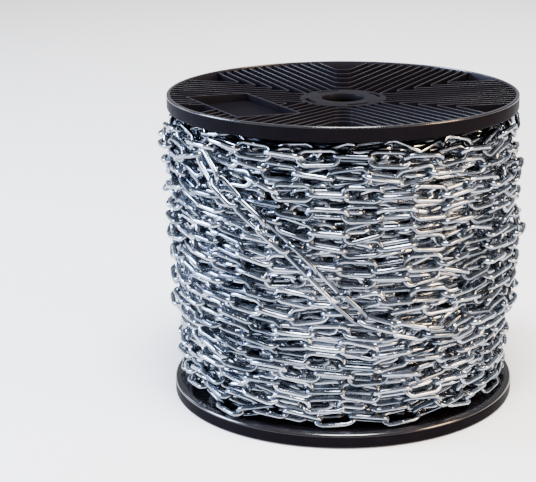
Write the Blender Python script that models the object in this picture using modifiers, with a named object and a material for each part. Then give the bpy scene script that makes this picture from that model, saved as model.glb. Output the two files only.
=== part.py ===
"""A black plastic reel, standing on one flange and wound full of zinc-plated long-link steel chain.

Metres, +Z up along the reel's axis. The origin is the centre of the lower flange's rim, on the floor.
The pockets of both flanges face -Y.
"""

import math

import bmesh
import bpy
from mathutils import Matrix, Vector

# Clearance between pieces that touch
FIT_GAP = 0.0003

# The reel
REEL_HEIGHT = 0.336
FLANGE_DIAMETER = 0.380
RIM_HEIGHT = 0.016
RIM_WALL = 0.004
WEB_THICKNESS = 0.003
BORE_DIAMETER = 0.046
SLEEVE_WALL = 0.004
HUB_DIAMETER = 0.094
HUB_WALL = 0.003
HUB_SLOTS = 4
HUB_SLOT_LENGTH = 0.021
HUB_SLOT_WIDTH = 0.0045
HUB_SLOT_DISTANCE = 0.0395
HUB_FIRST_SLOT_ANGLE = math.radians(85)
BARREL_DIAMETER = 0.120
BARREL_WALL = 0.004
SPIGOT_WALL = 0.003
SPIGOT_LENGTH = 0.012

# The ribs of a flange: six bundles of parallel ribs that meet in V shapes. Their tops are a shallow cone
# that sinks from the rim to the hub.
RIB_BUNDLES = 6
RIBS_IN_BUNDLE = 6
RIB_THICKNESS = 0.002
RIB_PITCH = 0.01115
RIB_DROP = 0.001
RIB_ROOT = 0.001
FACE_DISH = 0.007
# The V shapes have close bends, and wide ones in every third bundle
RIB_BEND_RADIUS = 0.003
WIDE_RIB_BEND_RADIUS = 0.013

# The smooth pocket in a flange
POCKET_LENGTH = 0.123
POCKET_WIDTH = 0.072
POCKET_DISTANCE = 0.1215

# One link of the chain, as in a 5 mm long-link chain
WIRE_DIAMETER = 0.005
LINK_PITCH = 0.035
LINK_WIDTH = 0.020
LINK_PLAY = 0.0009

# The winding
TURN_SPACING = 0.0175
TOP_SLACK = 0.006
OUTER_LAYER_DEPTH = 0.020
FLAT_LINK_SINK = 0.005
RELIEF_DEPTH = 0.008
# How far the chain's face stands out past the flange's edge, from the bottom of the pack to its top
PACK_OVERHANG = (-0.011, -0.006, -0.001, 0.002, 0.005, 0.004, -0.001)

# The stretch of chain that crosses the outer layer at a slant
CROSSING_LINKS = 7
CROSSING_SLOPE = math.radians(42)
CROSSING_TILT = math.radians(20)
CROSSING_MIDDLE_ANGLE = math.radians(308)
CROSSING_MIDDLE_HEIGHT = 0.219
CROSSING_SINK = 0.004

# How finely the round shapes are divided
FLANGE_STEPS = 48
BEND_STEPS = 4
WIRE_SIDES = 6
CHANNEL_SIDES = 12
WELD_DISTANCE = 0.00001

BLACK_PLASTIC = (0.012, 0.012, 0.013, 1.0)
ZINC_PLATE = (0.60, 0.62, 0.65, 1.0)

# Worked out from the sizes above
FLANGE_RADIUS = FLANGE_DIAMETER / 2
BARREL_RADIUS = BARREL_DIAMETER / 2
PACK_BOTTOM = RIM_HEIGHT + FIT_GAP
PACK_TOP = REEL_HEIGHT - RIM_HEIGHT - TOP_SLACK
LAYER_INNER_RADIUS = FLANGE_RADIUS + min(PACK_OVERHANG) - OUTER_LAYER_DEPTH
TURNS = int((PACK_TOP - PACK_BOTTOM) / TURN_SPACING)
TURN_HEIGHT = (PACK_TOP - PACK_BOTTOM) / TURNS
LINK_STRAIGHT = LINK_PITCH + 2 * WIRE_DIAMETER - LINK_WIDTH


def clear_scene():
    for item in list(bpy.data.objects):
        bpy.data.objects.remove(item, do_unlink=True)


def make_collection(name):
    collection = bpy.data.collections.new(name)
    bpy.context.scene.collection.children.link(collection)
    return collection


def make_material(name, colour, roughness, metallic):
    material = bpy.data.materials.new(name)
    material.use_nodes = True
    shader = material.node_tree.nodes["Principled BSDF"]
    shader.inputs["Base Color"].default_value = colour
    shader.inputs["Roughness"].default_value = roughness
    shader.inputs["Metallic"].default_value = metallic
    return material


def add_object(name, mesh, collection, material=None):
    item = bpy.data.objects.new(name, mesh)
    collection.objects.link(item)
    if material:
        mesh.materials.append(material)
    return item


def add_cutter(name, mesh):
    cutter = add_object(name, mesh, cutters)
    cutter.hide_render = True
    cutter.display_type = "WIRE"
    return cutter


def baked_mesh(item, name):
    """The object's mesh with its modifiers applied, or its curve turned into a welded mesh."""
    bpy.context.view_layer.update()
    evaluated = item.evaluated_get(bpy.context.evaluated_depsgraph_get())
    mesh = bpy.data.meshes.new_from_object(evaluated)
    mesh.name = name
    shape = bmesh.new()
    shape.from_mesh(mesh)
    bmesh.ops.remove_doubles(shape, verts=shape.verts, dist=WELD_DISTANCE)
    shape.to_mesh(mesh)
    shape.free()
    return mesh


def profile_mesh(name, points):
    """A closed profile in the XZ plane, its outer side running from top to bottom."""
    count = len(points)
    mesh = bpy.data.meshes.new(name)
    vertices = [(radius, 0.0, height) for radius, height in points]
    edges = [(index, (index + 1) % count) for index in range(count)]
    mesh.from_pydata(vertices, edges, [])
    return mesh


def add_screw(item, steps):
    screw = item.modifiers.new("turn", "SCREW")
    screw.axis = "Z"
    screw.angle = math.tau
    screw.steps = steps
    screw.render_steps = steps
    screw.use_merge_vertices = True
    screw.merge_threshold = WELD_DISTANCE


def add_boolean(item, operation, other):
    boolean = item.modifiers.new(operation.lower(), "BOOLEAN")
    boolean.operation = operation
    boolean.solver = "EXACT"
    boolean.object = other


# The flanges


def face_height(radius):
    """Height of the ribs' tops over the flange's chain side, on a shallow cone."""
    hub = HUB_DIAMETER / 2
    rim = FLANGE_RADIUS - RIM_WALL
    return RIM_HEIGHT - RIB_DROP - FACE_DISH * (rim - radius) / (rim - hub)


def flange_profile():
    """Section of a flange with its chain side at height 0 and its ribbed side up."""
    bore = BORE_DIAMETER / 2
    hub = HUB_DIAMETER / 2
    hub_top = face_height(hub)
    spigot = BARREL_RADIUS - BARREL_WALL - FIT_GAP
    return [
        (FLANGE_RADIUS, RIM_HEIGHT),
        (FLANGE_RADIUS, 0.0),
        (spigot, 0.0),
        (spigot, -SPIGOT_LENGTH),
        (spigot - SPIGOT_WALL, -SPIGOT_LENGTH),
        (spigot - SPIGOT_WALL, 0.0),
        (hub - HUB_WALL, 0.0),
        (hub - HUB_WALL, hub_top - HUB_WALL),
        (bore + SLEEVE_WALL, hub_top - HUB_WALL),
        (bore + SLEEVE_WALL, 0.0),
        (bore, 0.0),
        (bore, hub_top),
        (hub, hub_top),
        (hub, WEB_THICKNESS),
        (FLANGE_RADIUS - RIM_WALL, WEB_THICKNESS),
        (FLANGE_RADIUS - RIM_WALL, RIM_HEIGHT),
    ]


def point_on_rib(direction, offset, radius):
    """Where a rib that runs along a direction, shifted sideways by offset, meets a circle."""
    along = math.sqrt(radius**2 - offset**2)
    sideways = direction + math.pi / 2
    return (
        along * math.cos(direction) + offset * math.cos(sideways),
        along * math.sin(direction) + offset * math.sin(sideways),
    )


def rib_bend(apex, middle, radius, steps):
    """The rounded tip of a V shape, as points on an arc that both of its arms run into."""
    centre = apex + radius / math.sin(math.pi / RIB_BUNDLES)
    reach = math.pi / 2 - math.pi / RIB_BUNDLES
    points = []
    for step in range(steps + 1):
        angle = middle + math.pi + reach * (1 - 2 * step / steps)
        points.append((
            centre * math.cos(middle) + radius * math.cos(angle),
            centre * math.sin(middle) + radius * math.sin(angle),
        ))
    return points


def rib_lines():
    """The middle lines of the ribs of a flange, seen from above: nested V shapes in each sector."""
    hub_middle = HUB_DIAMETER / 2 - HUB_WALL / 2
    rim_middle = FLANGE_RADIUS - RIM_WALL / 2
    half_sector = math.pi / RIB_BUNDLES
    lines = []
    for sector in range(RIB_BUNDLES):
        first = 2 * half_sector * sector
        second = first + 2 * half_sector
        middle = first + half_sector
        wide = sector % 3 == 2
        lines.append([point_on_rib(first, 0.0, rim_middle), point_on_rib(first, 0.0, hub_middle)])
        for index in range(1, RIBS_IN_BUNDLE + 1):
            offset = RIB_PITCH * index
            apex = offset / math.sin(half_sector)
            end_1 = point_on_rib(first, offset, rim_middle)
            end_2 = point_on_rib(second, -offset, rim_middle)
            if apex + RIB_BEND_RADIUS < HUB_DIAMETER / 2:
                lines.append([end_1, point_on_rib(first, offset, hub_middle)])
                lines.append([point_on_rib(second, -offset, hub_middle), end_2])
            elif wide:
                lines.append([end_1, *rib_bend(apex, middle, WIDE_RIB_BEND_RADIUS, 3), end_2])
            else:
                lines.append([end_1, *rib_bend(apex, middle, RIB_BEND_RADIUS, 1), end_2])
    return lines


def wall_mesh(name, lines, closed=False):
    """Upright open strips along lines, from inside the web plate to the top of the ribs."""
    bottom = WEB_THICKNESS - RIB_ROOT
    vertices = []
    faces = []
    for line in lines:
        start = len(vertices)
        for x, y in line:
            vertices.append((x, y, bottom))
            vertices.append((x, y, face_height(math.hypot(x, y))))
        count = len(line)
        for index in range(count if closed else count - 1):
            here = start + 2 * index
            after = start + 2 * ((index + 1) % count)
            faces.append((here, after, after + 1, here + 1))
    mesh = bpy.data.meshes.new(name)
    mesh.from_pydata(vertices, [], faces)
    return mesh


def add_wall_thickness(item):
    solidify = item.modifiers.new("thickness", "SOLIDIFY")
    solidify.thickness = RIB_THICKNESS
    solidify.offset = 0.0
    solidify.use_even_offset = True


def box_mesh(name, length, width, place):
    """A cutting box that reaches well past both faces of a flange."""
    mesh = bpy.data.meshes.new(name)
    shape = bmesh.new()
    size = Matrix.Diagonal((length, width, 4 * RIM_HEIGHT, 1.0))
    bmesh.ops.create_cube(shape, size=1.0, matrix=place @ size)
    shape.to_mesh(mesh)
    shape.free()
    return mesh


def flange_mesh():
    half_length = POCKET_LENGTH / 2
    near = -(POCKET_DISTANCE - POCKET_WIDTH / 2)
    far = -(POCKET_DISTANCE + POCKET_WIDTH / 2)
    corners = [(-half_length, far), (half_length, far), (half_length, near), (-half_length, near)]

    frame = add_cutter("pocket_frame", wall_mesh("pocket_frame", [corners], closed=True))
    add_wall_thickness(frame)

    place = Matrix.Translation((0.0, -POCKET_DISTANCE, 0.0))
    pocket = add_cutter("pocket_space", box_mesh("pocket_space", POCKET_LENGTH, POCKET_WIDTH, place))

    ribs = add_cutter("ribs", wall_mesh("ribs", rib_lines()))
    add_wall_thickness(ribs)
    add_boolean(ribs, "DIFFERENCE", pocket)
    add_boolean(ribs, "UNION", frame)

    blank = add_cutter("flange_blank", profile_mesh("flange_blank", flange_profile()))
    add_screw(blank, FLANGE_STEPS)
    add_boolean(blank, "UNION", ribs)
    for index in range(HUB_SLOTS):
        turn = Matrix.Rotation(HUB_FIRST_SLOT_ANGLE + math.tau * index / HUB_SLOTS, 4, "Z")
        place = turn @ Matrix.Translation((HUB_SLOT_DISTANCE, 0.0, 0.0))
        slot = add_cutter("hub_slot", box_mesh("hub_slot", HUB_SLOT_WIDTH, HUB_SLOT_LENGTH, place))
        add_boolean(blank, "DIFFERENCE", slot)
    return baked_mesh(blank, "flange")


# The winding


def face_radius(height):
    """Radius of the wound chain's face at a height, bulging towards the top."""
    share = (height - PACK_BOTTOM) / (PACK_TOP - PACK_BOTTOM)
    place = min(max(share, 0.0), 1.0) * (len(PACK_OVERHANG) - 1)
    index = min(int(place), len(PACK_OVERHANG) - 2)
    blend = place - index
    blend = blend * blend * (3 - 2 * blend)
    overhang = PACK_OVERHANG[index] * (1 - blend) + PACK_OVERHANG[index + 1] * blend
    return FLANGE_RADIUS + overhang


def links_in_turn():
    """An even number of links, so that flat and upright ones alternate all the way round."""
    middle_radius = face_radius((PACK_BOTTOM + PACK_TOP) / 2) - LINK_WIDTH / 2
    return 2 * round(math.tau * middle_radius / LINK_PITCH / 2)


def outer_layer_profile():
    """Four heights in each turn: the gap below it, a wire, the middle of the link and the other wire."""
    wire_offset = (LINK_WIDTH - WIRE_DIAMETER) / 2 * TURN_HEIGHT / LINK_WIDTH
    points = [(LAYER_INNER_RADIUS, PACK_BOTTOM), (LAYER_INNER_RADIUS, PACK_TOP)]
    for turn in reversed(range(TURNS)):
        bottom = PACK_BOTTOM + turn * TURN_HEIGHT
        middle = bottom + TURN_HEIGHT / 2
        top = bottom + TURN_HEIGHT
        for height in (top, middle + wire_offset, middle, middle - wire_offset):
            points.append((face_radius(height), height))
    points.append((face_radius(PACK_BOTTOM), PACK_BOTTOM))
    return points


def sink_gaps(mesh, links):
    """Moves the face's points inwards between the turns, between the links and in the flat links' eyes.

    Each link has two columns of points, at the ends of its straight sides.
    """
    link_angle = math.tau / links
    column_shift = LINK_STRAIGHT / LINK_PITCH / 2
    edge_of_middle = TURN_HEIGHT / 8
    for vertex in mesh.vertices:
        radius = math.hypot(vertex.co.x, vertex.co.y)
        if radius < LAYER_INNER_RADIUS + WIRE_DIAMETER:
            continue
        column = round(math.atan2(vertex.co.y, vertex.co.x) / (link_angle / 2)) % (2 * links)
        link = column // 2
        shift = column_shift if column % 2 else -column_shift
        angle = (link + shift) * link_angle
        turn = min(int((vertex.co.z - PACK_BOTTOM) / TURN_HEIGHT), TURNS - 1)
        from_middle = abs(vertex.co.z - PACK_BOTTOM - (turn + 0.5) * TURN_HEIGHT)
        in_gap = from_middle > TURN_HEIGHT / 2 - WELD_DISTANCE
        in_middle = from_middle < edge_of_middle
        flat = (link + turn) % 2 == 0
        if in_gap or in_middle == flat:
            radius -= RELIEF_DEPTH + FLAT_LINK_SINK
        elif flat:
            radius -= FLAT_LINK_SINK
        vertex.co.x = radius * math.cos(angle)
        vertex.co.y = radius * math.sin(angle)


def crossing_joints():
    """The points where the crossing links hook into each other, on a straight slant down the face."""
    step = LINK_PITCH - LINK_PLAY
    joints = []
    for index in range(CROSSING_LINKS + 1):
        along = (index - CROSSING_LINKS / 2) * step
        height = CROSSING_MIDDLE_HEIGHT - along * math.sin(CROSSING_SLOPE)
        radius = face_radius(height) - CROSSING_SINK
        angle = CROSSING_MIDDLE_ANGLE + along * math.cos(CROSSING_SLOPE) / radius
        joints.append(Vector((radius * math.cos(angle), radius * math.sin(angle), height)))
    return joints


def tube_curve(name, points, radius, sides, closed):
    curve = bpy.data.curves.new(name, "CURVE")
    curve.dimensions = "3D"
    spline = curve.splines.new("POLY")
    spline.points.add(len(points) - 1)
    for point, place in zip(spline.points, points):
        point.co = (*place, 1.0)
    spline.use_cyclic_u = closed
    curve.bevel_depth = radius
    curve.bevel_resolution = sides // 2 - 2
    curve.use_fill_caps = not closed
    return curve


def curve_to_mesh(name, curve):
    guide = bpy.data.objects.new(name, curve)
    cutters.objects.link(guide)
    mesh = baked_mesh(guide, name)
    bpy.data.objects.remove(guide, do_unlink=True)
    return mesh


def channel_mesh(joints):
    """A tube round the crossing links, which presses their seat into the outer layer."""
    overrun = WIRE_DIAMETER + FIT_GAP
    first = joints[0] + (joints[0] - joints[1]).normalized() * overrun
    last = joints[-1] + (joints[-1] - joints[-2]).normalized() * overrun
    route = [first, *joints[1:-1], last]
    radius = (LINK_WIDTH / 2 + FIT_GAP) / math.cos(math.pi / CHANNEL_SIDES)
    return curve_to_mesh("channel", tube_curve("channel", route, radius, CHANNEL_SIDES, closed=False))


def link_mesh():
    """A round wire bent to an oval, lying flat in the XY plane and long along X."""
    bend_radius = (LINK_WIDTH - WIRE_DIAMETER) / 2
    points = []
    for end in (0, 1):
        for step in range(BEND_STEPS + 1):
            angle = -math.pi / 2 + math.pi * (step / BEND_STEPS + end)
            centre = LINK_STRAIGHT / 2 * (1 - 2 * end)
            points.append((centre + bend_radius * math.cos(angle), bend_radius * math.sin(angle), 0.0))
    return curve_to_mesh("link", tube_curve("link", points, WIRE_DIAMETER / 2, WIRE_SIDES, closed=True))


def place_link(item, start, end, quarter):
    """Lays a link between two joints, nearly flat on the face, or nearly upright where quarter is 1."""
    along = (end - start).normalized()
    middle = (start + end) / 2
    outwards = Vector((middle.x, middle.y, 0.0)).normalized()
    across = outwards.cross(along).normalized()
    normal = along.cross(across)
    frame = Matrix((along, across, normal)).transposed().to_4x4()
    tilt = Matrix.Rotation(CROSSING_TILT + quarter * math.pi / 2, 4, "X")
    item.matrix_world = Matrix.Translation(middle) @ frame @ tilt


def build_reel():
    plastic = make_material("black_plastic", BLACK_PLASTIC, 0.4, 0.0)
    mesh = flange_mesh()
    top = add_object("top_flange", mesh, parts, plastic)
    top.location.z = REEL_HEIGHT - RIM_HEIGHT
    bottom = add_object("bottom_flange", mesh, parts)
    bottom.location.z = RIM_HEIGHT
    bottom.rotation_euler.y = math.pi

    inner = BARREL_RADIUS - BARREL_WALL
    low = RIM_HEIGHT + FIT_GAP
    high = REEL_HEIGHT - RIM_HEIGHT - FIT_GAP
    section = [(BARREL_RADIUS, high), (BARREL_RADIUS, low), (inner, low), (inner, high)]
    barrel = add_object("barrel", profile_mesh("barrel", section), parts, plastic)
    add_screw(barrel, FLANGE_STEPS)


def build_winding():
    zinc = make_material("zinc_plated_steel", ZINC_PLATE, 0.3, 1.0)
    inner = BARREL_RADIUS + FIT_GAP
    outer = LAYER_INNER_RADIUS - FIT_GAP
    section = [(outer, PACK_TOP), (outer, PACK_BOTTOM), (inner, PACK_BOTTOM), (inner, PACK_TOP)]
    core = add_object("chain_core", profile_mesh("chain_core", section), parts, zinc)
    links = links_in_turn()
    add_screw(core, FLANGE_STEPS)

    blank = add_cutter("layer_blank", profile_mesh("layer_blank", outer_layer_profile()))
    add_screw(blank, 2 * links)
    face = baked_mesh(blank, "chain_outer_layer")
    bpy.data.objects.remove(blank, do_unlink=True)
    sink_gaps(face, links)
    layer = add_object("chain_outer_layer", face, parts, zinc)
    joints = crossing_joints()
    channel = add_cutter("crossing_channel", channel_mesh(joints))
    add_boolean(layer, "DIFFERENCE", channel)

    shared = link_mesh()
    shared.materials.append(zinc)
    for index in range(CROSSING_LINKS):
        link = add_object(f"crossing_link_{index + 1}", shared, parts)
        place_link(link, joints[index], joints[index + 1], index % 2)


def shade_round_pieces():
    for item in parts.objects:
        item.data.shade_smooth()
        item.data.set_sharp_from_angle(angle=math.radians(30))


clear_scene()
parts = make_collection("chain_reel")
cutters = make_collection("cutters")
build_reel()
build_winding()
shade_round_pieces()
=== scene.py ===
"""Looks of the reel of steel chain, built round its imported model. Metres, +Z up, pockets towards -Y."""

import math

import bmesh
import bpy
import numpy as np
from mathutils import Matrix, Vector


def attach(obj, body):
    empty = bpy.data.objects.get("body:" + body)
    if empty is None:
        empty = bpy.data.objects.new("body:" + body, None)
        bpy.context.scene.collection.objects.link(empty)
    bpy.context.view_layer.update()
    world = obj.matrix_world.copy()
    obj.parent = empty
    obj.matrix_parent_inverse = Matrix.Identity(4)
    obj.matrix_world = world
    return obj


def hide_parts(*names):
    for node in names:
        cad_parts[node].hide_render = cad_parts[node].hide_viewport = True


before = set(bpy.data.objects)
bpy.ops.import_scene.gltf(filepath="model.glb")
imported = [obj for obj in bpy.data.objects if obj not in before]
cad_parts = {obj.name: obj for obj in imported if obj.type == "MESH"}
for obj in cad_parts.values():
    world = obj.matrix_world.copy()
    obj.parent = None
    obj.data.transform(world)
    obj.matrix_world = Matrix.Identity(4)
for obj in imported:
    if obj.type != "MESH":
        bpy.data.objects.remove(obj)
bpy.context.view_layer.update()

# Camera
# The photograph's own point of view: to the right of the pockets, far off with a long lens, and looking
# down on the upper flange at a shallow angle. Its distance and height are in flange radii.
reel_radius = 0.190
camera_distance = 8.4125
camera_height = 3.3569
camera_dip = 16.44
camera_azimuth = math.radians(60)
camera_data = bpy.data.cameras.new("camera")
camera_data.sensor_width = 36.0
camera_data.lens = 100.6
camera_data.shift_x = -0.14
camera = bpy.data.objects.new("camera", camera_data)
towards_camera = Vector((math.sin(camera_azimuth), -math.cos(camera_azimuth), 0.0))
above_floor = Vector((0.0, 0.0, camera_height * reel_radius))
camera.location = towards_camera * camera_distance * reel_radius + above_floor
camera.rotation_euler = (math.radians(90 - camera_dip), 0.0, camera_azimuth)
bpy.context.scene.collection.objects.link(camera)
bpy.context.scene.camera = camera

# Studio
# A white card floor and large soft lamps: a cool one and a small one for the rims on the left, a warm one
# on the right, one overhead, and one that evens out the card behind the reel. Round wires then carry long
# highlights between dark gaps.
card_half_width = 6.0
reel_middle = Vector((0.0, 0.0, 0.17))
card_behind_reel = Vector((-3.2, 2.0, 0.0))


def linear_colour(hex_value):
    """An sRGB colour such as "#C8CCD0" as the linear RGBA that Blender works in."""
    channels = [int(hex_value[index:index + 2], 16) / 255 for index in (1, 3, 5)]
    return (*[c / 12.92 if c <= 0.04045 else ((c + 0.055) / 1.055) ** 2.4 for c in channels], 1.0)


def add_node(tree, kind, inputs=None, **settings):
    """Adds a node with its settings. Each of its inputs gets a value, or a link where it is a socket."""
    node = tree.nodes.new(kind)
    for name, value in settings.items():
        setattr(node, name, value)
    for key, value in (inputs or {}).items():
        if isinstance(value, bpy.types.NodeSocket):
            tree.links.new(value, node.inputs[key])
        else:
            node.inputs[key].default_value = value
    return node


def new_material(name):
    """A material, its node tree and its surface shader."""
    material = bpy.data.materials.new(name)
    material.use_nodes = True
    return material, material.node_tree, material.node_tree.nodes["Principled BSDF"]


def add_object(name, data):
    """Puts a mesh or a lamp into the scene, at the origin."""
    item = bpy.data.objects.new(name, data)
    bpy.context.scene.collection.objects.link(item)
    return item


# White card: matt paper, which throws the lamps' light back up into the chain. It glows a little, so that
# it stays pale all the way back.
card, _, card_shader = new_material("white_card")
card_shader.inputs["Base Color"].default_value = linear_colour("#E6E6E6")
card_shader.inputs["Roughness"].default_value = 0.9
card_shader.inputs["Emission Color"].default_value = linear_colour("#FFFFFF")
card_shader.inputs["Emission Strength"].default_value = 0.34

low, high = -card_half_width, card_half_width
card_corners = [(low, low, 0.0), (high, low, 0.0), (high, high, 0.0), (low, high, 0.0)]
floor_mesh = bpy.data.meshes.new("floor")
floor_mesh.from_pydata(card_corners, [], [(0, 1, 2, 3)])
floor_mesh.materials.append(card)
studio_floor = add_object("studio_floor", floor_mesh)

for name, place, target, size, power, colour in (
    ("cool_left", (-1.2, -2.2, 1.2), reel_middle, 1.0, 265.0, "#C9DCFF"),
    ("left_edge", (-2.2, -1.25, 0.8), reel_middle, 0.6, 12.0, "#DDE8FF"),
    ("warm_right", (2.1, 1.5, 1.1), reel_middle, 1.0, 135.0, "#FFD3A0"),
    ("overhead", (0.7, -0.3, 2.6), reel_middle, 1.0, 240.0, "#FFFFFF"),
    ("backdrop_wash", (-1.7, 1.35, 2.2), card_behind_reel, 1.6, 100.0, "#FFFFFF"),
):
    lamp_data = bpy.data.lights.new(name, "AREA")
    lamp_data.size = size
    lamp_data.energy = power
    lamp_data.color = linear_colour(colour)[:3]
    lamp = add_object(name, lamp_data)
    lamp.location = place
    lamp.rotation_euler = (target - Vector(place)).to_track_quat("-Z", "Y").to_euler()

world = bpy.data.worlds.new("studio")
world.use_nodes = True
bpy.context.scene.world = world
backdrop = world.node_tree.nodes["Background"]
backdrop.inputs["Color"].default_value = linear_colour("#F2F4F8")
backdrop.inputs["Strength"].default_value = 0.42

# Flanges
# Two like mouldings in black polypropylene: a rim, a thin web, six bundles of upright ribs that meet in
# V shapes, a slotted hub round the axle bore, and a framed pocket. One is turned over and is the foot.
reel_height = 0.336
rim_height = 0.016
rim_wall = 0.004
rim_edge = 0.0012
chain_side_edge = 0.0032
web_thickness = 0.003
mould_edge = 0.0007
body_steps = 160
# A low bead on the chain side, as the distance in from the edge and the height
bead = (
    (0.0042, 0.0), (0.0048, -0.0004), (0.0055, -0.0006),
    (0.0062, -0.0006), (0.0069, -0.0004), (0.0075, 0.0),
)
# The axle bore with its sleeve and a low lip just outside it, and the hub
bore_radius = 0.023
bore_flare = 0.0025
bore_lip = 0.0004
sleeve_wall = 0.004
hub_radius = 0.047
hub_wall = 0.003
# The spigot that the barrel is pushed over
spigot_radius = 0.0557
spigot_wall = 0.003
spigot_length = 0.012
# The bent slots in the hub
slot_count = 4
slot_first_angle = math.radians(85)
slot_inner = 0.0372
slot_outer = 0.0418
slot_reach = math.radians(15.5)
slot_steps = 12
slot_end_steps = 6
# The ribs, whose tops lie on a shallow cone that sinks towards the hub
rib_bundles = 6
bundle_angle = math.tau / rib_bundles
ribs_in_bundle = 6
rib_thickness = 0.002
rib_depth = 0.014
rib_root = 0.001
rib_rounding = 0.0004
rib_pitch = 0.01115
rib_drop = 0.001
face_dish = 0.007
close_bend = 0.003
wide_bend = 0.013
# The pocket, with its near and far side as distances from the axle
pocket_half_length = 0.0615
pocket_near = 0.0855
pocket_far = 0.1575
pocket_corner = 0.003
# Painted highlight and polish: how far the ribs' tops and the hub are painted a lighter grey as a painted
# highlight, how far they are polished, and how wide the foot's polished band is
top_highlight_and_polish = (1.0, 0.07)
hub_highlight_and_polish = (0.3, 0.03)
polished_band = 0.008
side_tolerance = 0.0001
top_tolerance = 0.0003


def face_height(radius):
    """Height of the ribs' tops above the chain side: a shallow cone that sinks towards the hub."""
    rim_inside = reel_radius - rim_wall
    return rim_height - rib_drop - face_dish * (rim_inside - radius) / (rim_inside - hub_radius)


def rounded_corner(radius, height, size, start_angle):
    """A quarter round of the turned section, from a start angle down to 90 degrees less."""
    steps = 5
    angles = [math.radians(start_angle - 90 * step / steps) for step in range(steps + 1)]
    return [(radius + size * math.cos(angle), height + size * math.sin(angle)) for angle in angles]


def turned_object(name, section, steps):
    """A closed section of radius and height, turned round the reel's axis by a live modifier."""
    count = len(section)
    mesh = bpy.data.meshes.new(name)
    mesh.from_pydata([(r, 0.0, z) for r, z in section], [(i, (i + 1) % count) for i in range(count)], [])
    item = add_object(name, mesh)
    turn = item.modifiers.new("turn", "SCREW")
    turn.angle = math.tau
    turn.steps = turn.render_steps = steps
    turn.use_merge_vertices = True
    turn.merge_threshold = 0.00001
    return item


def moulded_body():
    """The flange without its ribs: one turned section, with its edges rounded as the mould leaves them."""
    hub_top = face_height(hub_radius)
    below_edge = 1.6 * rim_edge
    body = turned_object("moulded_body", [
        *rounded_corner(reel_radius - rim_edge, rim_height - rim_edge, rim_edge, 90),
        (reel_radius, rim_height - below_edge),
        *rounded_corner(reel_radius - chain_side_edge, chain_side_edge, chain_side_edge, 0),
        *[(reel_radius - inset, height) for inset, height in bead],
        (spigot_radius, 0.0),
        (spigot_radius, -spigot_length),
        (spigot_radius - spigot_wall, -spigot_length),
        (spigot_radius - spigot_wall, 0.0),
        (hub_radius - hub_wall, 0.0),
        (hub_radius - hub_wall, hub_top - hub_wall),
        (bore_radius + sleeve_wall, hub_top - hub_wall),
        (bore_radius + sleeve_wall, 0.0),
        (bore_radius, 0.0),
        (bore_radius, hub_top),
        (bore_radius + bore_flare, hub_top + bore_lip),
        (hub_radius, hub_top),
        (hub_radius, web_thickness),
        (reel_radius - rim_wall, web_thickness),
        (reel_radius - rim_wall, rim_height),
    ], body_steps)
    edges = body.modifiers.new("mould_edges", "BEVEL")
    edges.width = mould_edge
    edges.segments = 2
    edges.limit_method = "ANGLE"
    edges.angle_limit = math.radians(40)
    return body


def slot_cutter(angle):
    """A block in the shape of one slot: bent round the axle, with round ends. It reaches through the hub."""
    below, above = -0.01, 0.03
    middle = (slot_inner + slot_outer) / 2
    half = (slot_outer - slot_inner) / 2
    sweep = [slot_reach * (2 * step / slot_steps - 1) for step in range(slot_steps + 1)]
    bends = [math.pi * step / slot_end_steps for step in range(1, slot_end_steps)]
    outline = []
    for side, edge in ((1, slot_outer), (-1, slot_inner)):
        outline += [(edge, side * turn) for turn in sweep]
        for bend in bends:
            past_end = half * math.sin(bend) / middle
            outline.append((middle + side * half * math.cos(bend), side * (slot_reach + past_end)))
    points = [(out * math.cos(angle + turn), out * math.sin(angle + turn)) for out, turn in outline]
    shape = bmesh.new()
    low = [shape.verts.new((x, y, below)) for x, y in points]
    high = [shape.verts.new((x, y, above)) for x, y in points]
    shape.faces.new(reversed(low))
    shape.faces.new(high)
    for index in range(len(points)):
        after = (index + 1) % len(points)
        shape.faces.new((low[index], low[after], high[after], high[index]))
    mesh = bpy.data.meshes.new("slot_cutter")
    shape.to_mesh(mesh)
    shape.free()
    return add_object("slot_cutter", mesh)


def plain_mesh(item, name):
    """The item's mesh with every modifier applied. The item itself is removed."""
    bpy.context.view_layer.update()
    evaluated = item.evaluated_get(bpy.context.evaluated_depsgraph_get())
    mesh = bpy.data.meshes.new_from_object(evaluated)
    mesh.name = name
    bpy.data.objects.remove(item, do_unlink=True)
    return mesh


def on_rib(direction, offset, radius):
    """Where a rib that runs along a direction, shifted sideways by offset, meets a circle."""
    along = math.sqrt(radius**2 - offset**2)
    return Vector((
        along * math.cos(direction) - offset * math.sin(direction),
        along * math.sin(direction) + offset * math.cos(direction),
    ))


def rib_route(sector):
    """The middle lines of one bundle, seen from above: V shapes that open outwards, with rounded tips.

    Next to the rib between two bundles, the first pair runs on to the hub instead of meeting in a tip.
    """
    first = bundle_angle * sector
    second = first + bundle_angle
    middle = first + bundle_angle / 2
    has_wide_bends = sector % 3 == 2
    bend = wide_bend if has_wide_bends else close_bend
    steps = 8 if has_wide_bends else 4
    tip_reach = (math.pi - bundle_angle) / 2
    rim = reel_radius - rim_wall / 2
    hub = hub_radius - hub_wall / 2
    yield [on_rib(first, 0.0, rim), on_rib(first, 0.0, hub)]
    yield [on_rib(first, rib_pitch, rim), on_rib(first, rib_pitch, hub)]
    yield [on_rib(second, -rib_pitch, hub), on_rib(second, -rib_pitch, rim)]
    for index in range(2, ribs_in_bundle + 1):
        offset = rib_pitch * index
        centre = (offset + bend) / math.sin(bundle_angle / 2)
        tip = []
        for step in range(steps + 1):
            angle = middle + math.pi + tip_reach * (1 - 2 * step / steps)
            tip.append(Vector((
                centre * math.cos(middle) + bend * math.cos(angle),
                centre * math.sin(middle) + bend * math.sin(angle),
            )))
        yield [on_rib(first, offset, rim), *tip, on_rib(second, -offset, rim)]


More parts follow.
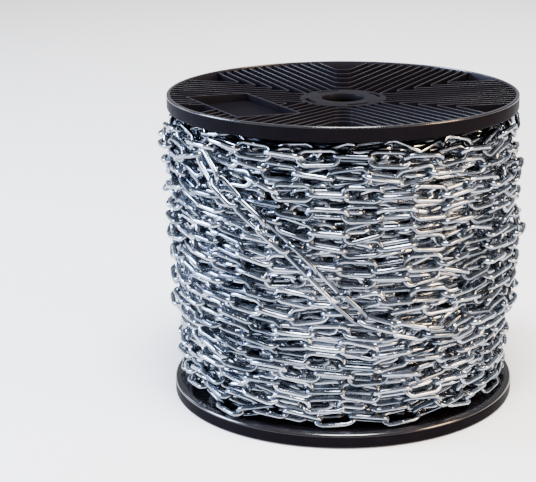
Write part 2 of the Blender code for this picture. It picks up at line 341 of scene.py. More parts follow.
def outside_pocket(route):
    """Cuts a route where it runs into the pocket, and gives the stretches that are left."""
    pocket_edges = (
        (0, -pocket_half_length), (0, pocket_half_length),
        (1, -pocket_near), (1, -pocket_far),
    )
    stretches = []
    current = []
    for start, end in zip(route, route[1:]):
        crossings = {0.0, 1.0}
        step = end - start
        for axis, edge in pocket_edges:
            if abs(step[axis]) > 1e-9:
                share = (edge - start[axis]) / step[axis]
                if 0.0 < share < 1.0:
                    crossings.add(share)
        shares = sorted(crossings)
        for low, high in zip(shares, shares[1:]):
            probe = start + step * (low + high) / 2
            if abs(probe.x) < pocket_half_length and -pocket_far < probe.y < -pocket_near:
                if len(current) > 1:
                    stretches.append(current)
                current = []
                continue
            if not current:
                current = [start + step * low]
            current.append(start + step * high)
    if len(current) > 1:
        stretches.append(current)
    return stretches


def pocket_frame():
    """The middle line of the wall round the pocket, with small round corners."""
    steps = 3
    route = []
    for x, y, turn in (
        (pocket_half_length, -pocket_near, 0), (-pocket_half_length, -pocket_near, 1),
        (-pocket_half_length, -pocket_far, 2), (pocket_half_length, -pocket_far, 3),
    ):
        inward_y = -pocket_corner if y == -pocket_near else pocket_corner
        inward = Vector((-math.copysign(pocket_corner, x), inward_y))
        for step in range(steps + 1):
            angle = math.pi / 2 * (turn + step / steps)
            outward = Vector((math.cos(angle), math.sin(angle)))
            route.append(Vector((x, y)) + inward + pocket_corner * outward)
    return route


def route_mesh(routes, closed_routes):
    """All middle lines as edges, lifted to the cone of the ribs' tops."""
    vertices, edges = [], []
    for route, closed in [(r, False) for r in routes] + [(r, True) for r in closed_routes]:
        start = len(vertices)
        vertices += [(p.x, p.y, face_height(p.length)) for p in route]
        edges += [(start + i, start + i + 1) for i in range(len(route) - 1)]
        if closed:
            edges.append((len(vertices) - 1, start))
    mesh = bpy.data.meshes.new("rib_routes")
    mesh.from_pydata(vertices, edges, [])
    return mesh


def new_tree(name, sizes):
    """A geometry tree with named inputs for its sizes, a material input, and its Geometry in and out."""
    tree = bpy.data.node_groups.new(name, "GeometryNodeTree")
    tree.is_modifier = True
    tree.interface.new_socket("Geometry", in_out="INPUT", socket_type="NodeSocketGeometry")
    for label, kind in sizes:
        tree.interface.new_socket(label, in_out="INPUT", socket_type=kind)
    tree.interface.new_socket("Material", in_out="INPUT", socket_type="NodeSocketMaterial")
    tree.interface.new_socket("Geometry", in_out="OUTPUT", socket_type="NodeSocketGeometry")
    return tree, add_node(tree, "NodeGroupInput").outputs


def end_tree(tree, geometry, material):
    """Every tree ends alike: real geometry, its material, and the output."""
    real = add_node(tree, "GeometryNodeRealizeInstances", {"Geometry": geometry})
    dressed = add_node(tree, "GeometryNodeSetMaterial", {"Geometry": real.outputs[0], "Material": material})
    add_node(tree, "NodeGroupOutput", {"Geometry": dressed.outputs[0]})


def grow(name, mesh, tree, values):
    """Runs a geometry tree on a mesh and gives the plain mesh that it makes."""
    item = add_object(name, mesh)
    modifier = item.modifiers.new(tree.name, "NODES")
    modifier.node_group = tree
    for socket in tree.interface.items_tree:
        if socket.in_out == "INPUT" and socket.name in values:
            modifier[socket.identifier] = values[socket.name]
    return plain_mesh(item, name)


def rib_tree():
    """Upright ribs that hang from the routes: a tall section with rounded edges, cut off inside the web."""
    tree, given = new_tree("moulded_ribs", [
        ("Thickness", "NodeSocketFloat"), ("Depth", "NodeSocketFloat"),
        ("Top Rounding", "NodeSocketFloat"), ("Floor Height", "NodeSocketFloat"),
    ])
    lines = add_node(tree, "GeometryNodeMeshToCurve", {"Mesh": given["Geometry"]})
    upright = add_node(tree, "GeometryNodeSetCurveNormal", {"Curve": lines.outputs[0]}, mode="Z_UP")
    section = add_node(tree, "GeometryNodeCurvePrimitiveQuadrilateral", {
        "Width": given["Thickness"], "Height": given["Depth"],
    })
    half_depth = add_node(tree, "ShaderNodeMath", {0: given["Depth"], 1: 0.5}, operation="MULTIPLY")
    offset = add_node(tree, "ShaderNodeCombineXYZ", {"Y": half_depth.outputs[0]})
    lowered = add_node(tree, "GeometryNodeTransform", {
        "Geometry": section.outputs[0], "Translation": offset.outputs[0],
    })
    rounded = add_node(tree, "GeometryNodeFilletCurve", {
        "Curve": lowered.outputs[0], "Radius": given["Top Rounding"], "Count": 2,
    }, mode="POLY")
    walls = add_node(tree, "GeometryNodeCurveToMesh", {
        "Curve": upright.outputs[0], "Profile Curve": rounded.outputs[0], "Fill Caps": True,
    })
    place = add_node(tree, "GeometryNodeInputPosition")
    parts = add_node(tree, "ShaderNodeSeparateXYZ", {"Vector": place.outputs[0]})
    held_up = add_node(tree, "ShaderNodeMath", {
        0: parts.outputs["Z"], 1: given["Floor Height"],
    }, operation="MAXIMUM")
    clamped = add_node(tree, "ShaderNodeCombineXYZ", {
        "X": parts.outputs["X"], "Y": parts.outputs["Y"], "Z": held_up.outputs[0],
    })
    trimmed = add_node(tree, "GeometryNodeSetPosition", {
        "Geometry": walls.outputs[0], "Position": clamped.outputs[0],
    })
    end_tree(tree, trimmed.outputs[0], given["Material"])
    return tree


def highlight_and_polish_marks(shape, band_is_polished):
    """How far each vertex on the tops is painted lighter as a painted highlight, and how far use has
    polished it, from 0 to 1.
    """
    painted_highlight, burnished = [], []
    for vertex in shape.verts:
        radius = vertex.co.xy.length
        height = vertex.co.z
        at_rim = radius > reel_radius - rim_wall + side_tolerance
        on_top = height > (rim_height if at_rim else face_height(radius)) - top_tolerance
        on_hub = radius < hub_radius - side_tolerance
        on_outer_edge = at_rim and height > rim_height - rim_edge
        on_band = radius > reel_radius - polished_band and height < chain_side_edge - top_tolerance
        # The first value paints the top a lighter grey, a painted highlight; the second is how far it is
        # polished
        rub, polish = (hub_highlight_and_polish if on_hub else top_highlight_and_polish) if on_top else (0.0, 0.0)
        painted_highlight.append(rub)
        burnished.append(1.0 if on_outer_edge or (on_band and band_is_polished) else polish)
    return painted_highlight, burnished


# Black polypropylene, injection moulded: near black with a satin skin, which picks up pale reflections on
# every rib. Faint handling scuffs break up the gloss, the ribs' tops and the hub carry a painted highlight
# in a lighter grey, and the rims' edges are polished by use. The mould grain is drawn coarser than it is,
# so that it shows.
scuff_size = 0.030
grain_size = 0.0009
grain_depth = 0.0002
# Inputs and outputs of a Mix node that share a name with others, and so go by number
value_a, value_b, value_out = 2, 3, 0
colour_a, colour_b, colour_out = 6, 7, 2
plastic, plastic_tree, plastic_shader = new_material("moulded_black_polypropylene")
plastic_place = add_node(plastic_tree, "ShaderNodeTexCoord")
scuff = add_node(plastic_tree, "ShaderNodeTexNoise", {
    "Vector": plastic_place.outputs["Object"], "Scale": 1 / scuff_size, "Detail": 6.0, "Roughness": 0.65,
})
grain = add_node(plastic_tree, "ShaderNodeTexNoise", {
    "Vector": plastic_place.outputs["Object"], "Scale": 1 / grain_size, "Detail": 2.0,
})
skin = add_node(plastic_tree, "ShaderNodeMix", {
    "Factor": scuff.outputs["Fac"], colour_a: linear_colour("#08070A"), colour_b: linear_colour("#110F13"),
}, data_type="RGBA")
# The tops are mixed towards a lighter grey: a painted highlight
highlight_mark = add_node(plastic_tree, "ShaderNodeAttribute", attribute_name="painted_highlight")
highlighted_skin = add_node(plastic_tree, "ShaderNodeMix", {
    "Factor": highlight_mark.outputs["Fac"],
    colour_a: skin.outputs[colour_out], colour_b: linear_colour("#19171D"),
}, data_type="RGBA")
polish_mark = add_node(plastic_tree, "ShaderNodeAttribute", attribute_name="burnished")
sheen = add_node(plastic_tree, "ShaderNodeMapRange", {
    "Value": polish_mark.outputs["Fac"], "To Min": 0.006, "To Max": 0.9,
})
skin_gloss = add_node(plastic_tree, "ShaderNodeMapRange", {
    "Value": scuff.outputs["Fac"], "From Min": 0.3, "From Max": 0.7, "To Min": 0.30, "To Max": 0.46,
})
gloss = add_node(plastic_tree, "ShaderNodeMix", {
    "Factor": polish_mark.outputs["Fac"], value_a: skin_gloss.outputs["Result"], value_b: 0.16,
})
mould_grain = add_node(plastic_tree, "ShaderNodeBump", {
    "Height": grain.outputs["Fac"], "Strength": 0.12, "Distance": grain_depth,
})
plastic_tree.links.new(highlighted_skin.outputs[colour_out], plastic_shader.inputs["Base Color"])
plastic_tree.links.new(gloss.outputs[value_out], plastic_shader.inputs["Roughness"])
plastic_tree.links.new(sheen.outputs["Result"], plastic_shader.inputs["Specular IOR Level"])
plastic_tree.links.new(mould_grain.outputs["Normal"], plastic_shader.inputs["Normal"])

body = moulded_body()
cutters = []
for index in range(slot_count):
    cutter = slot_cutter(slot_first_angle + math.tau * index / slot_count)
    cutters.append(cutter)
    cut = body.modifiers.new("slot", "BOOLEAN")
    cut.operation = "DIFFERENCE"
    cut.solver = "EXACT"
    cut.object = cutter
body_mesh = plain_mesh(body, "moulded_body")
for cutter in cutters:
    bpy.data.objects.remove(cutter, do_unlink=True)

routes = []
for sector in range(rib_bundles):
    for route in rib_route(sector):
        routes += outside_pocket(route)
ribs_mesh = grow("ribs", route_mesh(routes, [pocket_frame()]), rib_tree(), {
    "Thickness": rib_thickness, "Depth": rib_depth, "Top Rounding": rib_rounding,
    "Floor Height": web_thickness - rib_root, "Material": plastic,
})

for name, place in (
    ("top_flange", Matrix.Translation((0.0, 0.0, reel_height - rim_height))),
    ("bottom_flange", Matrix.Translation((0.0, 0.0, rim_height)) @ Matrix.Rotation(math.pi, 4, "Y")),
):
    shape = bmesh.new()
    shape.from_mesh(body_mesh)
    shape.from_mesh(ribs_mesh)
    bmesh.ops.remove_doubles(shape, verts=shape.verts, dist=0.000005)
    bmesh.ops.recalc_face_normals(shape, faces=shape.faces)
    painted_highlight, burnished = highlight_and_polish_marks(shape, band_is_polished=name == "bottom_flange")
    bmesh.ops.transform(shape, matrix=place, verts=shape.verts)
    flange_mesh = bpy.data.meshes.new(name)
    shape.to_mesh(flange_mesh)
    shape.free()
    # The tops' painted highlight and the polish, kept on the vertices for the material
    flange_mesh.attributes.new("painted_highlight", "FLOAT", "POINT").data.foreach_set("value", painted_highlight)
    flange_mesh.attributes.new("burnished", "FLOAT", "POINT").data.foreach_set("value", burnished)
    flange_mesh.materials.clear()
    flange_mesh.materials.append(plastic)
    flange_mesh.shade_smooth()
    flange_mesh.set_sharp_from_angle(angle=math.radians(35))
    flange = add_object("moulded_" + name, flange_mesh)
    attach(flange, "root")
    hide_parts(name)

# Barrel
# The plastic tube between the flanges, pushed over their spigots. The chain hides all of it, so the
# CAD tube stays and only takes the flanges' material.
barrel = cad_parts["barrel"]
for holder in barrel.material_slots:
    holder.material = plastic

# Wound chain
# One length of 5 mm long-link chain: round steel wire, bent, butt welded on one side, zinc plated and wound
# in level turns that step down at the left front. The last turn crosses the others at a slant. The lay is
# worked out in millimetres, from joint to joint: a joint is where two links hook into each other.
wire = 5.0
pitch = 35.0
# A link's middle line: the radius of its round ends, and half of each straight side
bow = 7.5
half_straight = 12.5
# The pack, and how far its face stands out past the flanges from the bottom up
pack_low = 16.3
pack_high = 314.0
overhang = np.array((-11.0, -6.0, -1.0, 2.0, 5.0, 4.0, -1.0))
flange_gap = 0.3
# The layers whose links are made, the innermost first: how deep their joints lie, how far out they start,
# and how far round they lead in. Under hidden_depth lie turns that no gap shows as links.
layer_depths = (30.5, 19.5, 8.5)
layer_swell = (6.0, 14.0, 24.0)
layer_lead = (0.0, 0.0, 0.80)
outer_layer = 2
hidden_depth = 39.5
layer_turns = 17
# A layer's joints start a little closer than the pitch, and it ends just short of a whole turn
layer_slack = 0.02
layer_end = 0.12
# Where each turn steps on to the next row
step_angle = math.radians(255)
step_width = math.radians(75)
# The last turn: its crossing stretch, with how far each joint strays from the slanting line and how each
# link is tilted, and the level stretches before and after it
last_turn_swell = 34.0
last_turn_sink = 1.0
last_turn_play = 0.4
last_turn_top = 305.0
crossing_links = 7
crossing_slope = math.radians(42)
crossing_angle = math.radians(308)
crossing_height = 219.0
crossing_sink = 5.5
crossing_sway = (-6.0, -5.0, -1.0, 4.0, 7.0, 6.0, 3.0, 0.0)
crossing_tilts = np.radians((14.0, 112.0, 26.0, 98.0, 12.0, 108.0, 22.0))
crossing_play = 0.9
lead_joints = 20
lead_climb = 0.6
tail_joints = 24
tail_drop = 6.0
tail_drop_joints = 2
tail_sag = 0.3
# How uneven the winding is before it is pulled tight, and over how many links its height and tilt drift
radius_jitter = 0.8
height_wander = 1.8
height_drift = 5
tilt_wander = 0.30
tilt_jitter = 0.14
tilt_drift = 9
chance = np.random.default_rng(3)


def ease(share):
    """A smooth rise from 0 to 1."""
    return share * share * (3 - 2 * share)


def face_radius(height):
    """Radius of the wound chain's face at a height, in millimetres, bulging towards the top."""
    place = np.clip((height - pack_low) / (pack_high - pack_low), 0.0, 1.0) * (len(overhang) - 1)
    index = np.minimum(np.floor(place).astype(int), len(overhang) - 2)
    blend = ease(place - index)
    return 1000 * reel_radius + overhang[index] * (1 - blend) + overhang[index + 1] * blend


def wander(count, length):
    """Values that drift slowly along the chain, for turns that never lie quite level."""
    knots = chance.normal(size=int(count / length) + 3)
    place = np.arange(count) / length
    index = place.astype(int)
    blend = ease(place - index)
    return knots[index] * (1 - blend) + knots[index + 1] * blend


def rows_passed(angle):
    """How many turns have been stepped over at an angle. Each step is made in one short stretch."""
    turns = (angle - step_angle) / math.tau
    whole = math.floor(turns)
    return whole + ease(min((turns - whole) * math.tau / step_width, 1.0))


def layer_route(depth, upwards, lead):
    """The joints of one layer as radius, angle and height. It may lead in with some level links."""
    row_height = (pack_high - pack_low) / layer_turns
    start = step_angle + step_width
    angle = start - lead
    joints = []
    while angle < start + math.tau * layer_turns - layer_end:
        row = min(max(rows_passed(angle) - rows_passed(start), 0.0), layer_turns - 1)
        height = pack_low + (row + 0.5) * row_height
        if not upwards:
            height = pack_low + pack_high - height
        radius = face_radius(height) - depth
        joints.append((radius, angle, height))
        angle += pitch / (1 + layer_slack) / radius
    return np.array(joints)


def last_turn_route():
    """The joints of the last turn, and which of them the crossing stretch guides to their places.

    It runs level near the top, down across the face, and level again.
    """
    crossing = []
    for index in range(crossing_links + 1):
        along = (index - crossing_links / 2) * (pitch - crossing_play)
        across = crossing_sway[index]
        height = crossing_height - along * math.sin(crossing_slope) + across * math.cos(crossing_slope)
        radius = face_radius(height) - crossing_sink
        run = along * math.cos(crossing_slope) + across * math.sin(crossing_slope)
        crossing.append((radius, crossing_angle + run / radius, height))
    lead, tail = [], []
    _, angle, height = crossing[0]
    for index in range(lead_joints):
        height = min(height + lead_climb, last_turn_top)
        radius = face_radius(height) - last_turn_sink
        angle -= (pitch - last_turn_play) / radius
        lead.append((radius, angle, height))
    _, angle, height = crossing[-1]
    for index in range(tail_joints):
        radius = face_radius(height) - last_turn_sink
        angle += (pitch - last_turn_play) / radius
        height -= tail_drop if index < tail_drop_joints else tail_sag
        tail.append((radius, angle, height))
    guided = np.array([False] * len(lead) + [True] * len(crossing) + [False] * len(tail))
    return np.array(lead[::-1] + crossing + tail), guided


def starting_joints():
    """All joints before the chain is pulled tight, which are guided, their layers, and where those rest."""
    routes = [layer_route(depth, layer == 1, layer_lead[layer]) for layer, depth in enumerate(layer_depths)]
    last_route, last_guided = last_turn_route()
    places, guided = [], []
    for route, swell in zip([*routes, last_route], [*layer_swell, last_turn_swell]):
        count = len(route)
        radius = route[:, 0] + swell + chance.normal(size=count) * radius_jitter
        height = route[:, 2] + wander(count, height_drift) * height_wander + chance.normal(size=count)
        places.append(np.stack([radius * np.cos(route[:, 1]), radius * np.sin(route[:, 1]), height], 1))
        guided.append(last_guided if route is last_route else np.zeros(count, bool))
    layer_of = np.repeat(np.arange(len(places)), [len(route) for route in places])
    radius, angle, height = last_route[last_guided].T
    rest_outwards = np.stack([np.cos(angle), np.sin(angle), angle * 0], 1)
    rest = rest_outwards * radius[:, None] + np.outer(height, (0, 0, 1))
    return np.concatenate(places), np.concatenate(guided), layer_of, rest, rest_outwards


def unit(vectors):
    """The vectors with a length of 1."""
    return vectors / np.linalg.norm(vectors, axis=-1)[..., None]


def link_outline():
    """A link's middle line as corners: share of the pitch along it, and distance across it."""
    # Corners within a bend stand out a little, so that the sides between them follow the round wire
    steps, corner_reach = 3, 1.04
    along, across = [], []
    for end in (0, 1):
        for step in range(steps + 1):
            angle = math.pi * (step / steps + end - 0.5)
            radius = bow * (corner_reach if 0 < step < steps else 1.0)
            along.append((half_straight * (1 - 2 * end) + radius * math.cos(angle)) / pitch + 0.5)
            across.append(radius * math.sin(angle))
    return np.array(along), np.array(across)


# How the lay is worked out. In every round the chain is pulled in and sags, its links are brought to
# length, links that overlap are pushed apart, and tilts and hooks are set right.
lay_rounds = 190
length_passes = 4
hook_passes = 2
# The rounds at which the links have come to length, the full pull ends, and the light one ends
tightening_rounds = 80
winding_rounds = 100
easing_rounds = 130
winding_pull = 0.28
easing_pull = 0.08
sag = 0.03
link_play = 0.3
crossing_grip = 0.15
tilt_hold = 0.08
# Hooked links stay roughly square to each other: the cosine of the least angle between their widths
hook_lean = 0.35
# Every few rounds, pairs are sought anew: links whose middles are near, and their sides that nearly touch
search_every = 4
near_middles = 46.0
near_sides_gap = 3.0
# A link turns less readily with a longer arm. Pushes go a little too far, so that the lay settles sooner
turning_arm = 9.0
push_share = 1.3
least_give = 0.3
outline_along, outline_across = link_outline()
corners = len(outline_along)
next_corner = (np.arange(corners) + 1) % corners


def outline_points(joint, width, first, second):
    """The corners of every link, from its two joints and the direction across it."""
    from_first = joint[first][:, None] * (1 - outline_along)[None, :, None]
    from_second = joint[second][:, None] * outline_along[None, :, None]
    return from_first + from_second + width[:, None] * outline_across[None, :, None]


def link_axes(joint, first, second):
    """The direction along each link, and the one across it in the face of the pack."""
    along = unit(joint[second] - joint[first])
    outwards = unit(((joint[first] + joint[second]) / 2) * (1, 1, 0))
    return along, unit(np.cross(outwards, along))


def tilted(tilt, along, across):
    """The direction across each link once it is tilted about its length."""
    return np.cos(tilt)[:, None] * across + np.sin(tilt)[:, None] * np.cross(along, across)


def squared(width, along):
    """The direction across each link, set square to its length again."""
    return unit(width - along * (width * along).sum(1)[:, None])


def even_out_lengths(joint, length, first, second):
    """Brings every link nearer to its length in a few passes. Every other link takes its turn."""
    for repeat in range(length_passes):
        for parity in (0, 1):
            chosen = np.nonzero(first % 2 == parity)[0]
            low, high = first[chosen], second[chosen]
            step = joint[high] - joint[low]
            now = np.linalg.norm(step, axis=1)
            excess = (now - length[chosen]) / now / 2
            joint[low] += step * excess[:, None]
            joint[high] -= step * excess[:, None]


def near_sides(joint, first, second, begin, end):
    """The pairs of sides that could touch, of links that aren't hooked into each other."""
    middle = (joint[first] + joint[second]) / 2
    batch = 256
    pairs = []
    for start in range(0, len(first), batch):
        apart = ((middle[start:start + batch, None] - middle[None]) ** 2).sum(2)
        one, other = np.nonzero(apart < near_middles**2)
        one = one + start
        hooked = (other == one + 1) & (first[other] == second[one])
        keep = (other > one) & ~hooked
        pairs.append(np.stack([one[keep], other[keep]]))
    one, other = np.repeat(np.concatenate(pairs, 1), corners**2, axis=1)
    repeats = len(one) // corners**2
    side = np.tile(np.repeat(np.arange(corners), corners), repeats)
    other_side = np.tile(np.arange(corners), repeats * corners)
    centre = (begin + end) / 2
    reach = np.linalg.norm(end - begin, axis=2) / 2
    apart = np.linalg.norm(centre[one, side] - centre[other, other_side], axis=1)
    near = apart < reach[one, side] + reach[other, other_side] + wire + near_sides_gap
    return one[near], side[near], other[near], other_side[near]


def closest_points(start, run, other_start, other_run):
    """How far along two straight sides their nearest points lie, and the gap from one to the other."""
    flat = 1e-6
    between = start - other_start
    aa, bb, ab = (run * run).sum(1), (other_run * other_run).sum(1), (run * other_run).sum(1)
    ac, bc = (run * between).sum(1), (other_run * between).sum(1)
    spread = aa * bb - ab * ab
    share = np.where(spread > flat, np.clip((ab * bc - ac * bb) / np.maximum(spread, flat), 0, 1), 0.5)
    other_share = (ab * share + bc) / bb
    share = np.where(other_share < 0, np.clip(-ac / aa, 0, 1), share)
    share = np.where(other_share > 1, np.clip((ab - ac) / aa, 0, 1), share)
    other_share = np.clip(other_share, 0, 1)
    return share, other_share, between + run * share[:, None] - other_run * other_share[:, None]


def push_apart(joint, width, first, second, begin, end, pairs):
    """Moves and turns the links whose wires overlap, by what is missing between their nearest points."""
    one, side, other, other_side = pairs
    start, other_start = begin[one, side], begin[other, other_side]
    run, other_run = end[one, side] - start, end[other, other_side] - other_start
    share, other_share, gap = closest_points(start, run, other_start, other_run)
    distance = np.linalg.norm(gap, axis=1)
    touching = distance < wire
    push_way = gap[touching] / np.maximum(distance[touching], 1e-6)[:, None]
    contacts = []
    for link, corner, part, sign in ((one, side, share, 1.0), (other, other_side, other_share, -1.0)):
        link, corner, part = link[touching], corner[touching], part[touching]
        at = outline_along[corner] * (1 - part) + outline_along[next_corner[corner]] * part
        out = outline_across[corner] * (1 - part) + outline_across[next_corner[corner]] * part
        give = (1 - at) ** 2 + at**2 + (out / turning_arm) ** 2
        contacts.append((link, at, out, sign, give))
    strength = (wire - distance[touching]) / np.maximum(contacts[0][4] + contacts[1][4], least_give)
    moved, moves = np.zeros_like(joint), np.zeros(len(joint))
    turned, turns = np.zeros_like(width), np.zeros(len(width))
    for link, at, out, sign, _ in contacts:
        push = push_way * (strength * sign)[:, None]
        for axis in range(3):
            moved[:, axis] += np.bincount(first[link], push[:, axis] * (1 - at), len(joint))
            moved[:, axis] += np.bincount(second[link], push[:, axis] * at, len(joint))
            turned[:, axis] += np.bincount(link, push[:, axis] * out / turning_arm**2, len(width))
        moves += np.bincount(first[link], np.abs(1 - at), len(joint))
        moves += np.bincount(second[link], np.abs(at), len(joint))
        turns += np.bincount(link, np.abs(out) / turning_arm, len(width))
    joint += moved / np.maximum(moves, 1.0)[:, None] * push_share
    width += turned / np.maximum(turns, 1.0)[:, None] * push_share


def keep_in_pack(joint, width, first, second):
    """Lifts links off the hidden turns under them, and keeps them between the flanges."""
    points = outline_points(joint, width, first, second)
    radius = np.hypot(points[..., 0], points[..., 1])
    innermost = face_radius(points[..., 2]) - hidden_depth + wire / 2
    lowest = rim_height * 1000 + flange_gap + wire / 2
    highest = 1000 * (reel_height - rim_height) - flange_gap - wire / 2
    shift = points * (np.maximum(innermost - radius, 0) / radius)[..., None]
    shift[..., 2] = np.maximum(lowest - points[..., 2], 0)
    shift[..., 2] -= np.maximum(points[..., 2] - highest, 0)
    held_back = 1 / np.maximum((np.abs(shift).sum(2) > 0).sum(1), 1)
    push = shift.sum(1) * held_back[:, None]
    width += (shift * outline_across[None, :, None]).sum(1) / turning_arm**2 * held_back[:, None]
    for axis in range(3):
        both = np.bincount(first, push[:, axis], len(joint)) + np.bincount(second, push[:, axis], len(joint))
        joint[:, axis] += both * 0.5


def lay_chain():
    """Winds the chain tight: links are pulled in, brought to length and pushed out of each other."""
    joint, guided, layer_of, rest, rest_outwards = starting_joints()
    first = np.nonzero(layer_of[:-1] == layer_of[1:])[0]
    second = first + 1
    links = len(first)
    hooked = np.nonzero(first[1:] == second[:-1])[0]
    start_length = np.linalg.norm(joint[second] - joint[first], axis=1)
    along, across = link_axes(joint, first, second)
    tilt = np.arange(links) % 2 * math.pi / 2
    tilt = tilt + wander(links, tilt_drift) * tilt_wander + chance.normal(size=links) * tilt_jitter
    tilt[guided[first] & guided[second]] = crossing_tilts
    width = tilted(tilt, along, across)
    tilt_grip = np.where(layer_of[first] >= outer_layer, tilt_hold, 0.0)[:, None]

    for lay_round in range(lay_rounds):
        settled = min(1.0, lay_round / tightening_rounds)
        length = start_length * (1 - settled) + (pitch - link_play) * settled
        pull = 0.0
        if lay_round < easing_rounds:
            pull = winding_pull if lay_round < winding_rounds else easing_pull
        radius = np.hypot(joint[:, 0], joint[:, 1])
        joint[:, :2] -= joint[:, :2] / radius[:, None] * pull
        joint[:, 2] -= sag
        still_out = last_turn_swell * max(0.0, 1 - lay_round / winding_rounds)
        joint[guided] += (rest + rest_outwards * still_out - joint[guided]) * crossing_grip
        even_out_lengths(joint, length, first, second)

        begin = outline_points(joint, width, first, second)
        end = begin[:, next_corner]
        if lay_round % search_every == 0:
            pairs = near_sides(joint, first, second, begin, end)
        push_apart(joint, width, first, second, begin, end, pairs)
        keep_in_pack(joint, width, first, second)

        along, across = link_axes(joint, first, second)
        aim = tilted(tilt, along, across)
        aim *= np.where((aim * width).sum(1) < 0, -1.0, 1.0)[:, None]
        width += (aim - width) * (tilt_grip if lay_round < easing_rounds else 0.0)
        width = squared(width, along)
        for repeat in range(hook_passes):
            lean = (width[hooked] * width[hooked + 1]).sum(1)
            excess = (np.sign(lean) * np.maximum(np.abs(lean) - hook_lean, 0) * 0.5)[:, None]
            back, forth = width[hooked + 1] * excess, width[hooked] * excess
            width[hooked] -= back
            width[hooked + 1] -= forth
            width = squared(width, along)
    return (joint[first] + joint[second]) / 2, along, width, layer_of[first]


def link_tree():
    """A link on every point: a wire bent to an oval by rounding a rectangle, with its weld on one side."""
    tree, given = new_tree("links_on_points", [
        ("Length", "NodeSocketFloat"), ("Width", "NodeSocketFloat"), ("Bend", "NodeSocketFloat"),
        ("Wire Radius", "NodeSocketFloat"), ("Bend Steps", "NodeSocketInt"),
        ("Wire Sides", "NodeSocketInt"), ("Welded", "NodeSocketBool"), ("Weld Size", "NodeSocketVector"),
    ])
    oval = add_node(tree, "GeometryNodeCurvePrimitiveQuadrilateral", {
        "Width": given["Length"], "Height": given["Width"],
    })
    bent = add_node(tree, "GeometryNodeFilletCurve", {
        "Curve": oval.outputs[0], "Radius": given["Bend"], "Count": given["Bend Steps"],
        "Limit Radius": True,
    }, mode="POLY")
    section = add_node(tree, "GeometryNodeCurvePrimitiveCircle", {
        "Resolution": given["Wire Sides"], "Radius": given["Wire Radius"],
    })
    bar = add_node(tree, "GeometryNodeCurveToMesh", {
        "Curve": bent.outputs[0], "Profile Curve": section.outputs[0],
    })
    closed = add_node(tree, "GeometryNodeMergeByDistance", {"Geometry": bar.outputs[0], "Distance": 0.0001})
    half_width = add_node(tree, "ShaderNodeMath", {0: given["Width"], 1: 0.5}, operation="MULTIPLY")
    weld_place = add_node(tree, "ShaderNodeCombineXYZ", {"Y": half_width.outputs[0]})
    ball = add_node(tree, "GeometryNodeMeshUVSphere", {"Segments": 4, "Rings": 6, "Radius": 1.0})
    weld = add_node(tree, "GeometryNodeTransform", {
        "Geometry": ball.outputs["Mesh"], "Translation": weld_place.outputs[0], "Scale": given["Weld Size"],
    })
    joined = add_node(tree, "GeometryNodeJoinGeometry", {"Geometry": closed.outputs[0]})
    tree.links.new(weld.outputs[0], joined.inputs["Geometry"])
    link = add_node(tree, "GeometryNodeSwitch", {
        "Switch": given["Welded"], "False": closed.outputs[0], "True": joined.outputs[0],
    }, input_type="GEOMETRY")
    along = add_node(tree, "GeometryNodeInputNamedAttribute", {"Name": "along"}, data_type="FLOAT_VECTOR")
    across = add_node(tree, "GeometryNodeInputNamedAttribute", {"Name": "across"}, data_type="FLOAT_VECTOR")
    turn = add_node(tree, "FunctionNodeAxesToRotation", {
        "Primary Axis": along.outputs[0], "Secondary Axis": across.outputs[0],
    }, primary_axis="X", secondary_axis="Y")
    placed = add_node(tree, "GeometryNodeInstanceOnPoints", {
        "Points": given["Geometry"], "Instance": link.outputs[0], "Rotation": turn.outputs[0],
    })
    smooth = add_node(tree, "GeometryNodeSetShadeSmooth", {"Geometry": placed.outputs[0]})
    end_tree(tree, smooth.outputs[0], given["Material"])
    return tree


# Bright zinc plate on drawn steel wire: a slightly blue metal that mirrors softly. The plating is cloudy
# from the bath and uneven where links have rubbed. The outer links differ in tone, and the ones under them
# are all pale, to make up for the little light there. Rub marks are drawn coarser than real, to show.
cloud_size = 0.012
rub_size = 0.0022
rub_depth = 0.0003
zinc, zinc_tree, zinc_shader = new_material("bright_zinc_plate")
zinc_shader.inputs["Metallic"].default_value = 1.0
zinc_place = add_node(zinc_tree, "ShaderNodeTexCoord")
tone = add_node(zinc_tree, "ShaderNodeAttribute", attribute_name="tone")
cloud = add_node(zinc_tree, "ShaderNodeTexNoise", {
    "Vector": zinc_place.outputs["Object"], "Scale": 1 / cloud_size, "Detail": 3.0, "Roughness": 0.6,
})
rub = add_node(zinc_tree, "ShaderNodeTexNoise", {
    "Vector": zinc_place.outputs["Object"], "Scale": 1 / rub_size, "Detail": 3.0, "Roughness": 0.7,
})
clouded = add_node(zinc_tree, "ShaderNodeMath", {
    0: cloud.outputs["Fac"], 1: tone.outputs["Fac"],
}, operation="ADD")
plate_mix = add_node(zinc_tree, "ShaderNodeMapRange", {
    "Value": clouded.outputs[0], "From Min": 0.5, "From Max": 1.5, "To Min": 0.0, "To Max": 1.0,
})
plate = add_node(zinc_tree, "ShaderNodeMix", {
    "Factor": plate_mix.outputs["Result"],
    colour_a: linear_colour("#555E6A"), colour_b: linear_colour("#BAC1CC"),
}, data_type="RGBA")
plate_gloss = add_node(zinc_tree, "ShaderNodeMapRange", {
    "Value": rub.outputs["Fac"], "From Min": 0.3, "From Max": 0.75, "To Min": 0.08, "To Max": 0.20,
})
plate_bump = add_node(zinc_tree, "ShaderNodeBump", {
    "Height": rub.outputs["Fac"], "Strength": 0.15, "Distance": rub_depth,
})
zinc_tree.links.new(plate.outputs[colour_out], zinc_shader.inputs["Base Color"])
zinc_tree.links.new(plate_gloss.outputs["Result"], zinc_shader.inputs["Roughness"])
zinc_tree.links.new(plate_bump.outputs["Normal"], zinc_shader.inputs["Normal"])

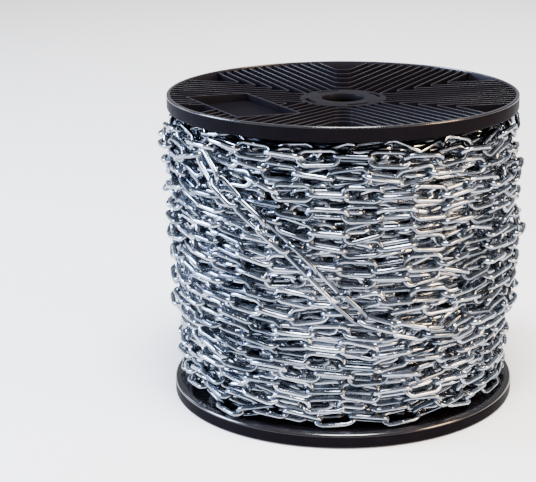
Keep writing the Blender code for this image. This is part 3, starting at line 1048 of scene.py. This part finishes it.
# The bar is six-sided: with this radius to its corners it has about the section of a 5.2 mm round wire
drawn_wire_radius = 2.85
weld_size = (0.0035, 0.0031, 0.0031)
deep_tone = 0.95
palest_outer_tone = 0.8
link_middle, link_along, link_across, link_layer = lay_chain()
outer_tone = chance.uniform(0.0, palest_outer_tone, size=len(link_middle))
link_tone = np.where(link_layer < outer_layer, deep_tone, outer_tone)
tree = link_tree()
link_sizes = {
    "Length": (pitch + wire) / 1000, "Width": 2 * bow / 1000, "Bend": bow / 1000,
    "Wire Radius": drawn_wire_radius / 1000, "Wire Sides": 6, "Weld Size": weld_size, "Material": zinc,
}
crossing_nodes = [f"crossing_link_{index + 1}" for index in range(crossing_links)]
# The inner links are half hidden, so they have no weld and fewer steps in their bends
for name, chosen, nodes, welded in (
    ("inner_chain", link_layer < outer_layer, ["chain_core"], False),
    ("outer_chain", link_layer == outer_layer, ["chain_outer_layer"], True),
    ("last_turn", link_layer > outer_layer, crossing_nodes, True),
):
    points = bpy.data.meshes.new(name)
    points.from_pydata((link_middle[chosen] / 1000).tolist(), [], [])
    for label, kind, key, values in (
        ("along", "FLOAT_VECTOR", "vector", link_along[chosen]),
        ("across", "FLOAT_VECTOR", "vector", link_across[chosen]),
        ("tone", "FLOAT", "value", link_tone[chosen]),
    ):
        points.attributes.new(label, kind, "POINT").data.foreach_set(key, values.ravel())
    chain_mesh = grow(name, points, tree, {
        **link_sizes, "Bend Steps": 3 if welded else 2, "Welded": welded,
    })
    chain = add_object(name, chain_mesh)
    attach(chain, "root")
    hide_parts(*nodes)

# Hidden turns
# The turns between the barrel and the links above, of the same plated chain. They show only as dark waves
# of wire at the bottom of the gaps, so they are one turned surface with a wave for each turn.
hidden_inner_radius = 0.0605
hidden_clearance = 3.0
wave_height = 2.0
wave_steps = 8
hidden_steps = 96
profile = []
for step in range(wave_steps * layer_turns + 1):
    height = pack_low + (pack_high - pack_low) * step / (wave_steps * layer_turns)
    wave = wave_height * math.cos(math.tau * step / wave_steps)
    radius = float(face_radius(height)) - hidden_depth - hidden_clearance + wave
    profile.append((radius / 1000, height / 1000))
hidden_body = turned_object("hidden_turns", [
    (hidden_inner_radius, pack_low / 1000), *profile, (hidden_inner_radius, pack_high / 1000),
], hidden_steps)
hidden_body.data.materials.append(zinc)
hidden_mesh = plain_mesh(hidden_body, "hidden_turns")
shape = bmesh.new()
shape.from_mesh(hidden_mesh)
bmesh.ops.recalc_face_normals(shape, faces=shape.faces)
shape.to_mesh(hidden_mesh)
shape.free()
hidden_mesh.shade_smooth()
hidden_turns = add_object("hidden_turns", hidden_mesh)
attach(hidden_turns, "root")
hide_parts("chain_core")
